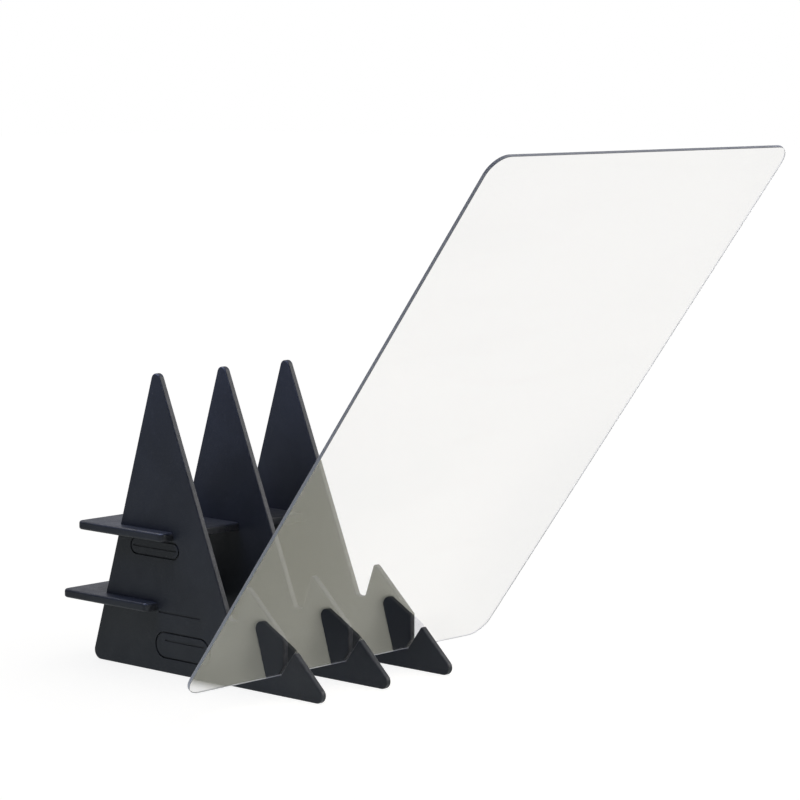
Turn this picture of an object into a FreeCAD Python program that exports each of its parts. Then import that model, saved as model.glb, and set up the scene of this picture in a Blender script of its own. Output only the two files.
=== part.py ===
import FreeCAD, Part
import math
import os

# Optical tracing board: three toothed uprights in a row, two cross bars that push into
# them from behind, and a clear reflecting sheet that leans forward in their front slots.
# Units are millimetres and degrees. +X points to the paper, +Y runs along the row of
# uprights and +Z is up. The origin is on the floor, midway along the middle upright's base.

# ---------------------------------------------------------------- driving dimensions

# Uprights. Their outline is measured from the rear foot, to the sharp corners.
UPRIGHT_NAMES = ("upright_left", "upright_middle", "upright_right")
UPRIGHT_PITCH = 40.0        # centre to centre along Y
UPRIGHT_THICK = 3.0
UPRIGHT_EDGE_R = 0.6        # moulded softening of both faces' outlines
BASE_LENGTH = 146.9         # rear foot to toe
FOOT_R = 4.0
TOE_R = 3.3
APEX_X = 41.3
APEX_Z = 136.6
APEX_R = 2.8
FRONT_ANGLE = 67.3          # the long front edge that a phone leans on

# Phone notch, between the long front edge and the rear tooth.
NOTCH_Z = 29.3
NOTCH_FRONT_X = 91.1
NOTCH_R = 2.0
REAR_TOOTH_BACK_ANGLE = 70.5
REAR_TOOTH_SLOPE = 42.5
REAR_TOOTH_R = 1.1

# Panel slot, between the rear tooth's upright wall and the front tooth.
SLOT_WALL_X = 118.8
SLOT_WALL_TOP = 25.1
SLOT_WALL_R = 0.8
SLOT_FRONT_GAP = 0.1        # panel to the front tooth
SLOT_REAR_GAP = 0.45        # panel to the slot's rear wall
SLOT_FLOOR_GAP = 0.05
FRONT_TOOTH_SLOPE = 43.3
FRONT_TOOTH_R = 0.8

# Reflector panel. Its foot is the lower corner of its forward and downward face.
PANEL_ANGLE = 53.7
PANEL_FOOT_X = 117.6
PANEL_FOOT_Z = 8.85
PANEL_LENGTH = 278.0        # along the slope
PANEL_WIDTH = 187.0         # along Y
PANEL_THICK = 1.5
PANEL_CORNER_R = 9.0
PANEL_EDGE_R = 0.25
PANEL_Y_OFFSET = -4.6       # it stands a little off centre in its slots

# Cross bars. Rear edge and top face of each, measured from the rear foot.
BARS = {
    "cross_bar_upper": {"rear_x": -2.9, "top_z": 62.5},
    "cross_bar_lower": {"rear_x": -12.9, "top_z": 30.6},
}
BAR_DEPTH = 55.4            # along X
BAR_LENGTH = 95.6           # along Y
BAR_THICK = 3.9
BAR_CORNER_R = 3.0
BAR_EDGE_R = 1.1
BAR_NOTCH_DEPTH = 17.2      # from the bar's front edge, as deep as half its overlap
HALVING_GAP = 0.05          # between a bar and an upright, each side

# Shallow grooves on the left upright's outer face. Rings: centre, length and height.
RING_GROOVES = (
    {"x": 40.9, "z": 54.2, "length": 31.0, "height": 7.8},
    {"x": 58.2, "z": 12.3, "length": 34.0, "height": 12.0},
)
RING_DEPTH = 0.8
# Straight grooves: centre and length. The first two lie inside the rings.
LINE_GROOVES = (
    {"x": 41.0, "z": 54.4, "length": 27.4},
    {"x": 59.6, "z": 14.4, "length": 24.4},
    {"x": 56.3, "z": 26.6, "length": 26.0},
)
LINE_DEPTH = 0.4
GROOVE_WIDTH = 0.8

# ---------------------------------------------------------------- worked out from them

MID_BASE = BASE_LENGTH / 2.0
SLOPE_X = math.cos(math.radians(PANEL_ANGLE))
SLOPE_Z = math.sin(math.radians(PANEL_ANGLE))
CUT_MARGIN = 20.0           # how far a cutting tool overshoots the plate that it opens


def meet(point_a, angle_a, point_b, angle_b):
    """The crossing of two lines in the XZ plane, each through a point at an angle."""
    ax, az = math.cos(math.radians(angle_a)), math.sin(math.radians(angle_a))
    bx, bz = math.cos(math.radians(angle_b)), math.sin(math.radians(angle_b))
    dx, dz = point_b[0] - point_a[0], point_b[1] - point_a[1]
    along = (dx * bz - dz * bx) / (ax * bz - az * bx)
    return (point_a[0] + along * ax, point_a[1] + along * az)


def rounded_wire(corners):
    """A closed wire through (vector, radius) corners, each with a tangent arc."""
    stretches = []
    for i, (corner, radius) in enumerate(corners):
        to_last = (corners[i - 1][0] - corner).normalize()
        to_next = (corners[(i + 1) % len(corners)][0] - corner).normalize()
        half = to_last.getAngle(to_next) / 2.0
        if radius == 0.0:
            stretches.append((corner, None, corner))
            continue
        reach = radius / math.tan(half)
        bisector = (to_last + to_next).normalize()
        middle = corner + bisector * (radius / math.sin(half) - radius)
        stretches.append((corner + to_last * reach, middle, corner + to_next * reach))
    edges = []
    for i, (start, middle, end) in enumerate(stretches):
        if middle is not None:
            edges.append(Part.Arc(start, middle, end).toShape())
        following = stretches[(i + 1) % len(stretches)][0]
        edges.append(Part.LineSegment(end, following).toShape())
    return Part.Wire(edges)


def prism(wire, travel):
    """The solid swept by a closed flat wire along a straight vector."""
    return Part.Face(wire).extrude(travel)


def soften_outline(solid, face_axis, radius):
    """Round the outline edges of the two faces that look along +/- face_axis."""
    edges = []
    for face in solid.Faces:
        flat = isinstance(face.Surface, Part.Plane)
        if flat and abs(face.normalAt(0, 0).dot(face_axis)) > 0.999:
            edges.extend(face.Edges)
    return solid.makeFillet(radius, edges)


# ---------------------------------------------------------------- uprights

def upright_corners():
    """The plate's outline from the rear foot round by the toe, teeth and apex."""
    toe = (BASE_LENGTH, 0.0)
    apex = (APEX_X, APEX_Z)
    foot = (PANEL_FOOT_X, PANEL_FOOT_Z)
    front_wall = (foot[0] + SLOT_FRONT_GAP * SLOPE_Z, foot[1] - SLOT_FRONT_GAP * SLOPE_X)
    behind = PANEL_THICK + SLOT_REAR_GAP
    rear_wall = (foot[0] - behind * SLOPE_Z, foot[1] + behind * SLOPE_X)
    floor = (0.0, PANEL_FOOT_Z - SLOT_FLOOR_GAP)
    wall_top = (SLOT_WALL_X, SLOT_WALL_TOP)
    notch_front = (NOTCH_FRONT_X, NOTCH_Z)
    return [
        ((0.0, 0.0), FOOT_R),
        (toe, TOE_R),
        (meet(toe, 180.0 - FRONT_TOOTH_SLOPE, front_wall, PANEL_ANGLE), FRONT_TOOTH_R),
        (meet(floor, 0.0, front_wall, PANEL_ANGLE), 0.0),
        (meet(floor, 0.0, rear_wall, PANEL_ANGLE), 0.0),
        (meet(wall_top, 90.0, rear_wall, PANEL_ANGLE), 0.0),
        (wall_top, SLOT_WALL_R),
        (meet(wall_top, 180.0 - REAR_TOOTH_SLOPE, notch_front, REAR_TOOTH_BACK_ANGLE),
         REAR_TOOTH_R),
        (notch_front, NOTCH_R),
        (meet(notch_front, 0.0, apex, 180.0 - FRONT_ANGLE), NOTCH_R),
        (apex, APEX_R),
    ]


def obround(groove, length, height, depth):
    """A solid stadium about a groove's centre, from the plane Y = 0 to its depth."""
    radius = height / 2.0 - 1e-3
    corners = []
    for side_x, side_z in ((-1, -1), (1, -1), (1, 1), (-1, 1)):
        x = groove["x"] - MID_BASE + side_x * length / 2.0
        z = groove["z"] + side_z * height / 2.0
        corners.append((FreeCAD.Vector(x, 0.0, z), radius))
    return prism(rounded_wire(corners), FreeCAD.Vector(0.0, depth, 0.0))


def groove_cutters():
    """Cutters for the ring-shaped and the straight grooves, all starting at Y = 0."""
    cutters = []
    for groove in RING_GROOVES:
        length, height = groove["length"], groove["height"]
        outer = obround(groove, length, height, RING_DEPTH)
        inner = obround(groove, length - 2.0 * GROOVE_WIDTH, height - 2.0 * GROOVE_WIDTH,
                        RING_DEPTH)
        cutters.append(outer.cut(inner))
    for groove in LINE_GROOVES:
        cutters.append(obround(groove, groove["length"], GROOVE_WIDTH, LINE_DEPTH))
    return cutters


def bar_slot_cutter(bar):
    """The slot that one cross bar needs, open at the upright's rear edge."""
    slot_end = bar["rear_x"] + BAR_DEPTH - BAR_NOTCH_DEPTH + HALVING_GAP
    start_x = bar["rear_x"] - CUT_MARGIN
    height = BAR_THICK + 2.0 * HALVING_GAP
    corner = FreeCAD.Vector(start_x - MID_BASE, -CUT_MARGIN,
                            bar["top_z"] - BAR_THICK - HALVING_GAP)
    return Part.makeBox(slot_end - start_x, 2.0 * CUT_MARGIN, height, corner)


def make_upright():
    """One toothed plate, centred on Y = 0."""
    near_face = -UPRIGHT_THICK / 2.0
    corners = []
    for (x, z), radius in upright_corners():
        corners.append((FreeCAD.Vector(x - MID_BASE, near_face, z), radius))
    plate = prism(rounded_wire(corners), FreeCAD.Vector(0.0, UPRIGHT_THICK, 0.0))
    plate = soften_outline(plate, FreeCAD.Vector(0.0, 1.0, 0.0), UPRIGHT_EDGE_R)
    for bar in BARS.values():
        plate = plate.cut(bar_slot_cutter(bar))
    return plate


def place_uprights(plate):
    """Three copies of the plate in a row along Y, the first with grooves in its outer face."""
    uprights = {}
    for i, name in enumerate(UPRIGHT_NAMES):
        copy = plate.copy()
        copy.translate(FreeCAD.Vector(0.0, (i - 1) * UPRIGHT_PITCH, 0.0))
        uprights[name] = copy
    outer_name = UPRIGHT_NAMES[0]
    outer_face = -UPRIGHT_PITCH - UPRIGHT_THICK / 2.0
    for cutter in groove_cutters():
        cutter.translate(FreeCAD.Vector(0.0, outer_face, 0.0))
        uprights[outer_name] = uprights[outer_name].cut(cutter)
    return uprights


# ---------------------------------------------------------------- cross bars

def make_cross_bar(bar):
    """A flat plate with a notch in its front edge for each upright."""
    rear_x = bar["rear_x"] - MID_BASE
    front_x = rear_x + BAR_DEPTH
    bottom_z = bar["top_z"] - BAR_THICK
    half = BAR_LENGTH / 2.0
    corners = []
    for x, y in ((rear_x, -half), (front_x, -half), (front_x, half), (rear_x, half)):
        corners.append((FreeCAD.Vector(x, y, bottom_z), BAR_CORNER_R))
    plate = prism(rounded_wire(corners), FreeCAD.Vector(0.0, 0.0, BAR_THICK))
    plate = soften_outline(plate, FreeCAD.Vector(0.0, 0.0, 1.0), BAR_EDGE_R)
    notch_width = UPRIGHT_THICK + 2.0 * HALVING_GAP
    for i in range(len(UPRIGHT_NAMES)):
        centre_y = (i - 1) * UPRIGHT_PITCH
        corner = FreeCAD.Vector(front_x - BAR_NOTCH_DEPTH, centre_y - notch_width / 2.0,
                                bottom_z - CUT_MARGIN)
        notch = Part.makeBox(BAR_NOTCH_DEPTH + CUT_MARGIN, notch_width,
                             BAR_THICK + 2.0 * CUT_MARGIN, corner)
        plate = plate.cut(notch)
    return plate


# ---------------------------------------------------------------- reflector panel

def make_panel():
    """The sheet, drawn along its slope from the foot and as thick as its upper side."""
    foot = FreeCAD.Vector(PANEL_FOOT_X - MID_BASE, PANEL_Y_OFFSET, PANEL_FOOT_Z)
    up_slope = FreeCAD.Vector(SLOPE_X, 0.0, SLOPE_Z) * PANEL_LENGTH
    sideways = FreeCAD.Vector(0.0, PANEL_WIDTH / 2.0, 0.0)
    to_upper_face = FreeCAD.Vector(-SLOPE_Z, 0.0, SLOPE_X)
    corners = []
    for corner in (foot - sideways, foot + sideways, foot + sideways + up_slope,
                   foot - sideways + up_slope):
        corners.append((corner, PANEL_CORNER_R))
    sheet = prism(rounded_wire(corners), to_upper_face * PANEL_THICK)
    return soften_outline(sheet, to_upper_face, PANEL_EDGE_R)


def main():
    nodes = place_uprights(make_upright())
    for name, bar in BARS.items():
        nodes[name] = make_cross_bar(bar)
    nodes["reflector_panel"] = make_panel()
    os.makedirs("parts", exist_ok=True)
    for name, shape in nodes.items():
        solid = shape.Solids[0]
        solid.exportStep(os.path.join("parts", name + ".step"))
        print(name, "valid", solid.isValid(), "solids", len(shape.Solids),
              "volume_mm3", round(solid.Volume, 1))


if __name__ == "__main__":
    main()
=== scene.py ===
import math

import bmesh
import bpy
from mathutils import Matrix, Vector


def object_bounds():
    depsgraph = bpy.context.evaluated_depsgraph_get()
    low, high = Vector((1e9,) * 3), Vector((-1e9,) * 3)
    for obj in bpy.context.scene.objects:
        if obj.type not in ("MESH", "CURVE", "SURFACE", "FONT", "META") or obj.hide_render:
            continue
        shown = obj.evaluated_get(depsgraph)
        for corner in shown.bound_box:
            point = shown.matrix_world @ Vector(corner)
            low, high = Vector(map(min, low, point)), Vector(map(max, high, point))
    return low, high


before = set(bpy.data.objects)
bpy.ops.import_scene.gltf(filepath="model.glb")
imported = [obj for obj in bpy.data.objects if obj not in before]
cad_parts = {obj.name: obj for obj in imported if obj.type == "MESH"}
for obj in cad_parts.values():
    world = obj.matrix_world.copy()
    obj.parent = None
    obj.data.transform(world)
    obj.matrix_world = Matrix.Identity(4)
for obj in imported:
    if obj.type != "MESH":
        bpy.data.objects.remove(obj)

# Looks for the optical tracing board: moulded black plastic uprights and cross bars, and
# a clear acrylic sheet with a partly reflecting face, on a white studio floor.
# Metres, in the part's own frame: +X towards the paper, +Y along the row, +Z up.
# Every visible piece is the CAD node itself, so this script adds materials, floor,
# lights and camera, and no shapes of its own.

MM = 0.001
CAD_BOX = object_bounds()

PANEL = "reflector_panel"
PLASTIC_NODES = sorted(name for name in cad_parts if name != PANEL)
PANEL_SLOPE = math.radians(53.7)
PANEL_NORMAL = Vector((-math.sin(PANEL_SLOPE), 0.0, math.cos(PANEL_SLOPE)))
PANEL_DOWN = Vector((-math.cos(PANEL_SLOPE), 0.0, -math.sin(PANEL_SLOPE)))
ALONG_ROW = Vector((0.0, 1.0, 0.0))

# Camera: azimuth, elevation and roll in degrees, the point it looks at and its distance
# from there, and its lens and sensor in millimetres.
CAMERA_ANGLES = (42.12, 6.69, 0.356)
CAMERA_AIM = Vector((-0.01345, 0.09657, 0.10964))
CAMERA_DISTANCE = 1.39606
CAMERA_LENS = 135.37
CAMERA_SENSOR = 36.0

# Studio: a bright wall of light behind the row (+Y) and a dim one in front of it (-Y).
WHITE = (1.0, 1.0, 1.0, 1.0)
DIM_SIDE = (0.114, 0.132, 0.170, 1.0)
BRIGHT_SIDE = (0.60, 0.61, 0.65, 1.0)
FLOOR_SIZE = 12.0
FLOOR_DROP = 0.05 * MM        # below the feet, so that the faces don't coincide
FLOOR_GLOW = 0.86             # as it is seen
BOUNCE_CENTRE = (-0.02, -0.18, 0.0)
BOUNCE_REACH = (0.05, 0.40)   # from the centre, where the light it gives back falls off
BOUNCE_LEVELS = (0.60, 0.24)  # at either end of that reach
BOUNCE_TINT = (0.91, 0.98, 1.0, 1.0)
CONTACT_REACH = 17 * MM       # how far the shade of a foot spreads

# Softboxes: name, direction from the object, distance, size, watts and colour.
SOFTBOXES = (
    ("key", (0.55, 0.74, 0.42), 1.5, (1.3, 1.0), 10.0, (1.0, 0.98, 0.95)),
    ("top", (-0.64, -0.09, 0.76), 0.55, (0.25, 0.25), 1.2, (1.0, 0.95, 0.86)),
    ("cool", (-0.60, -0.47, 0.65), 0.20, (0.12, 0.12), 0.42, (0.46, 0.56, 1.0)),
)


# ---------------------------------------------------------------- node helpers

class Nodes:
    """A short way to write a shader tree: each call adds one node and links its inputs."""

    def __init__(self, tree):
        tree.nodes.clear()
        self.tree = tree

    def add(self, kind, inputs=None, **settings):
        node = self.tree.nodes.new(kind)
        for key, value in settings.items():
            setattr(node, key, value)
        for key, value in (inputs or {}).items():
            socket = node.inputs[key]
            if isinstance(value, bpy.types.NodeSocket):
                self.tree.links.new(value, socket)
            else:
                socket.default_value = value
        return node

    def math(self, operation, a, b=0.0):
        return self.add("ShaderNodeMath", {0: a, 1: b}, operation=operation).outputs[0]

    def remap(self, value, from_low, from_high, to_low=0.0, to_high=1.0):
        """A smooth step from to_low to to_high."""
        node = self.add("ShaderNodeMapRange", {
            "Value": value, "From Min": from_low, "From Max": from_high,
            "To Min": to_low, "To Max": to_high}, interpolation_type="SMOOTHSTEP")
        return node.outputs["Result"]

    def mix(self, factor, a, b):
        """Colour mix. A Mix node keeps its colours at inputs 6 and 7 and output 2."""
        node = self.add("ShaderNodeMix", {0: factor, 6: a, 7: b}, data_type="RGBA")
        return node.outputs[2]

    def vectors(self, operation, a, b):
        """A vector operation that gives one number."""
        node = self.add("ShaderNodeVectorMath", {0: a, 1: b}, operation=operation)
        return node.outputs["Value"]

    def noise(self, position, size, detail=2.0, roughness=0.5, distortion=0.0):
        """Noise whose features are about size metres across."""
        node = self.add("ShaderNodeTexNoise", {
            "Vector": position, "Scale": 1.0 / size, "Detail": detail,
            "Roughness": roughness, "Distortion": distortion})
        return node.outputs["Fac"]

    def stretch(self, position, scale, rotation):
        """A position whose pattern is longer along the axes with a small scale."""
        node = self.add("ShaderNodeMapping", {
            "Vector": position, "Scale": scale, "Rotation": rotation})
        return node.outputs["Vector"]

    def bump(self, height, distance, strength=1.0, normal=None):
        inputs = {"Height": height, "Distance": distance, "Strength": strength}
        if normal is not None:
            inputs["Normal"] = normal
        return self.add("ShaderNodeBump", inputs).outputs["Normal"]


def new_material(name):
    material = bpy.data.materials.new(name)
    material.use_nodes = True
    return material, Nodes(material.node_tree)


# ---------------------------------------------------------------- materials

def moulded_plastic():
    """Satin black injection moulding: spark-eroded grain, sheen patches, and edges lightened
    partly by wear and partly as a painted highlight.
    """
    material, n = new_material("moulded_black_plastic")
    coords = n.add("ShaderNodeTexCoord")
    place = coords.outputs["Object"]

    # The plates' broad faces look along Y or Z. What looks elsewhere is handled more: the
    # rounded arrises and the uprights' slanting edge strips. Their lighter colour is partly
    # wear and partly a painted highlight.
    normal = n.add("ShaderNodeSeparateXYZ", {0: coords.outputs["Normal"]})
    squares = [n.math("MULTIPLY", normal.outputs[i], normal.outputs[i]) for i in ("Y", "Z")]
    face = n.math("MAXIMUM", squares[0], squares[1])
    arris = n.remap(face, 0.55, 0.97, 1.0, 0.0)

    flow = n.noise(place, 30 * MM, detail=3.0, distortion=0.6)
    mottle = n.noise(place, 3.5 * MM, detail=4.0, roughness=0.6)
    handling = n.noise(n.stretch(place, (1.0, 1.0, 0.45), (0.3, 0.5, 0.2)), 14 * MM,
                       detail=5.0, roughness=0.62, distortion=1.2)
    grain = n.noise(place, 0.55 * MM, detail=3.0, roughness=0.60)
    fine = n.noise(place, 0.18 * MM, detail=2.0)

    deep = (0.0185, 0.0200, 0.0232, 1.0)
    pale = (0.0240, 0.0260, 0.0304, 1.0)
    # A lighter grey, used for random patches, and on the edges for wear and a painted
    # highlight.
    accent_grey = (0.0460, 0.0475, 0.0530, 1.0)
    body = n.mix(n.remap(flow, 0.3, 0.7), deep, pale)
    body = n.mix(n.remap(mottle, 0.55, 0.85, 0.0, 0.35), body, accent_grey)
    # Edges and strips turn lighter: partly wear, partly a painted highlight where they catch
    # the light.
    worn_and_highlit = n.math("MULTIPLY", arris, n.remap(mottle, 0.40, 0.62, 0.25, 0.8))
    body = n.mix(worn_and_highlit, body, accent_grey)

    gloss = n.remap(handling, 0.35, 0.70, 0.50, 0.40)
    gloss = n.math("SUBTRACT", gloss, n.math("MULTIPLY", arris, 0.12))
    gloss = n.math("ADD", gloss, n.math("MULTIPLY", n.math("SUBTRACT", grain, 0.5), 0.22))

    surface = n.bump(flow, 0.30 * MM, 0.25)
    surface = n.bump(grain, 0.075 * MM, 0.9, surface)
    surface = n.bump(fine, 0.020 * MM, 0.7, surface)

    shader = n.add("ShaderNodeBsdfPrincipled", {
        "Base Color": body, "Roughness": gloss, "Normal": surface,
        "IOR": 1.50, "Specular IOR Level": 0.30})
    n.add("ShaderNodeOutputMaterial", {"Surface": shader.outputs[0]})
    return material


def acrylic():
    """Clear acrylic with partly reflecting faces and faint wipe marks.

    Its edges are sawn and cloudy, apart from the smooth one at the +Y end, and the bottom
    edge, which faces down, is painted a darker grey as painted shade.
    """
    material, n = new_material("clear_acrylic")
    coords = n.add("ShaderNodeTexCoord")
    place = coords.outputs["Object"]

    # Masks, all from the surface's direction: any edge, the bottom one, the +Y one.
    normal = coords.outputs["Normal"]
    facing = n.math("ABSOLUTE", n.vectors("DOT_PRODUCT", normal, PANEL_NORMAL))
    edge = n.remap(facing, 0.60, 0.95, 1.0, 0.0)
    foot = n.remap(n.vectors("DOT_PRODUCT", normal, PANEL_DOWN), 0.35, 0.90)
    smooth_side = n.remap(n.vectors("DOT_PRODUCT", normal, ALONG_ROW), 0.60, 0.95)

    wipes = n.noise(n.stretch(place, (1.0, 0.25, 1.0), (0.0, 0.2, 0.5)), 22 * MM,
                    detail=5.0, roughness=0.6, distortion=0.8)
    clouds = n.noise(n.stretch(place, (1.0, 0.8, 1.0), (0.4, 0.0, 0.6)), 150 * MM, detail=1.0)
    saw = n.noise(place, 0.9 * MM, detail=3.0)

    clear = (0.896, 0.892, 0.888, 1.0)
    hazy = (0.878, 0.875, 0.872, 1.0)
    cloudy = (0.862, 0.861, 0.860, 1.0)
    sawn = (0.82, 0.84, 1.00, 1.0)
    # A darker grey for the bottom edge: painted shade.
    accent_grey = (0.30, 0.30, 0.33, 1.0)
    colour = n.mix(n.remap(wipes, 0.45, 0.80), clear, hazy)
    colour = n.mix(n.remap(clouds, 0.35, 0.65), colour, cloudy)
    # The edges take the sawn violet-grey, and the bottom edge takes the painted shade.
    colour = n.mix(edge, colour, n.mix(foot, sawn, accent_grey))
    coarse = n.math("MULTIPLY", edge, n.math("SUBTRACT", 1.0, smooth_side))
    gloss = n.math("MULTIPLY", coarse, 0.42)
    cloudiness = n.math("ADD", 0.38, n.math("MULTIPLY", foot, 0.30))
    through = n.math("SUBTRACT", 1.0, n.math("MULTIPLY", coarse, cloudiness))
    surface = n.bump(n.math("MULTIPLY", saw, coarse), 0.03 * MM, 0.6)

    # A trace of metal stands for the thin reflecting coat.
    shader = n.add("ShaderNodeBsdfPrincipled", {
        "Base Color": colour, "Roughness": gloss, "Normal": surface,
        "Transmission Weight": through, "IOR": 1.49, "Metallic": 0.03,
        "Specular Tint": (1.0, 1.0, 0.50, 1.0)})

    # Light falls through the sheet, so it casts only a faint shadow.
    light_path = n.add("ShaderNodeLightPath")
    shadow = n.add("ShaderNodeBsdfTransparent", {"Color": (0.86, 0.86, 0.86, 1.0)})
    passing = n.add("ShaderNodeMixShader", {
        0: light_path.outputs["Is Shadow Ray"], 1: shader.outputs[0], 2: shadow.outputs[0]})
    n.add("ShaderNodeOutputMaterial", {"Surface": passing.outputs[0]})
    return material


# ---------------------------------------------------------------- studio

def seen_directly(n):
    """1 where the camera sees it: straight on, through the sheet or mirrored in it."""
    path = n.add("ShaderNodeLightPath")
    seen = n.math("MAXIMUM", path.outputs["Is Camera Ray"], path.outputs["Is Singular Ray"])
    return n.math("MAXIMUM", seen, path.outputs["Is Transmission Ray"])


def make_world():
    """White to look at, and two soft walls of light for everything that it lights."""
    world = bpy.data.worlds.new("studio")
    world.use_nodes = True
    bpy.context.scene.world = world
    n = Nodes(world.node_tree)
    direction = n.add("ShaderNodeTexCoord").outputs["Generated"]
    towards_back = n.add("ShaderNodeSeparateXYZ", {0: direction}).outputs["Y"]
    lighting = n.mix(n.remap(towards_back, -0.35, 0.30), DIM_SIDE, BRIGHT_SIDE)
    colour = n.mix(seen_directly(n), lighting, WHITE)
    sky = n.add("ShaderNodeBackground", {"Color": colour, "Strength": 1.0})
    n.add("ShaderNodeOutputWorld", {"Surface": sky.outputs[0]})


def make_floor():
    """A white floor. It glows where it is seen, so that only the softest shade is left,
    and it gives light back to the object from a patch on the camera's side. The shade
    where the feet touch it shows through the sheet only."""
    material, n = new_material("studio_floor")
    place = n.add("ShaderNodeTexCoord").outputs["Object"]
    speckle = n.noise(place, 4 * MM, detail=2.0)
    tone = n.mix(speckle, (0.432, 0.410, 0.362, 1.0), (0.452, 0.428, 0.378, 1.0))
    paper = n.add("ShaderNodeBsdfDiffuse", {"Color": tone})
    path = n.add("ShaderNodeLightPath")
    occlusion = n.add("ShaderNodeAmbientOcclusion", {"Distance": CONTACT_REACH}, samples=8)
    shade = n.math("MULTIPLY", path.outputs["Is Transmission Ray"],
                   n.remap(occlusion.outputs["AO"], 0.42, 0.97, 0.80, 0.0))
    reach = n.vectors("DISTANCE", place, BOUNCE_CENTRE)
    bounce = n.remap(reach, *BOUNCE_REACH, *BOUNCE_LEVELS)
    seen = seen_directly(n)
    glow_level = n.math("ADD", n.math("MULTIPLY", seen, FLOOR_GLOW),
                        n.math("MULTIPLY", n.math("SUBTRACT", 1.0, seen), bounce))
    glow_level = n.math("SUBTRACT", glow_level, shade)
    glow_colour = n.mix(seen, BOUNCE_TINT, WHITE)
    glow = n.add("ShaderNodeEmission", {"Color": glow_colour, "Strength": glow_level})
    both = n.add("ShaderNodeAddShader", {0: paper.outputs[0], 1: glow.outputs[0]})
    n.add("ShaderNodeOutputMaterial", {"Surface": both.outputs[0]})

    mesh = bpy.data.meshes.new("floor")
    grid = bmesh.new()
    bmesh.ops.create_grid(grid, x_segments=1, y_segments=1, size=FLOOR_SIZE / 2.0)
    grid.to_mesh(mesh)
    grid.free()
    mesh.materials.append(material)
    floor = bpy.data.objects.new("floor", mesh)
    floor.location.z = CAD_BOX[0].z - FLOOR_DROP
    bpy.context.scene.collection.objects.link(floor)


def add_softbox(name, direction, distance, size, power, colour, lit):
    """A rectangular area light, aimed at the object, that lights only what is in lit."""
    lamp = bpy.data.lights.new(name, "AREA")
    lamp.shape = "RECTANGLE"
    lamp.size, lamp.size_y = size
    lamp.energy = power
    lamp.color = colour
    light = bpy.data.objects.new(name, lamp)
    bpy.context.scene.collection.objects.link(light)
    towards = Vector(direction).normalized()
    centre = (CAD_BOX[0] + CAD_BOX[1]) / 2.0
    light.location = centre + towards * distance
    light.rotation_euler = towards.to_track_quat("Z", "Y").to_euler()
    light.visible_camera = False
    light.visible_transmission = False
    light.light_linking.receiver_collection = lit


def make_lights():
    """Softboxes for the plastic only: the sheet would mirror them as bright wedges."""
    lit = bpy.data.collections.new("lit_by_softboxes")
    for name in PLASTIC_NODES:
        lit.objects.link(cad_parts[name])
    for softbox in SOFTBOXES:
        add_softbox(*softbox, lit)


def make_camera():
    """A long lens a little above table height, to the left of the object's front."""
    azimuth, elevation, roll = (math.radians(angle) for angle in CAMERA_ANGLES)
    back = Vector((math.sin(azimuth) * math.cos(elevation),
                   -math.cos(azimuth) * math.cos(elevation), math.sin(elevation)))
    level = Vector((math.cos(azimuth), math.sin(azimuth), 0.0))
    upright = back.cross(level)
    right = level * math.cos(roll) + upright * math.sin(roll)
    up = upright * math.cos(roll) - level * math.sin(roll)
    camera = bpy.data.objects.new("camera", bpy.data.cameras.new("camera"))
    bpy.context.scene.collection.objects.link(camera)
    placed = Matrix((right, up, back)).transposed().to_4x4()
    placed.translation = CAMERA_AIM + back * CAMERA_DISTANCE
    camera.matrix_world = placed
    camera.data.sensor_width = CAMERA_SENSOR
    camera.data.lens = CAMERA_LENS
    camera.data.clip_end = 50.0
    bpy.context.scene.camera = camera


def dress(names, material):
    for name in names:
        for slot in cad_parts[name].material_slots:
            slot.material = material


def main():
    bpy.context.scene.view_settings.view_transform = "Standard"
    make_camera()
    dress(PLASTIC_NODES, moulded_plastic())
    dress([PANEL], acrylic())
    make_world()
    make_floor()
    make_lights()


main()
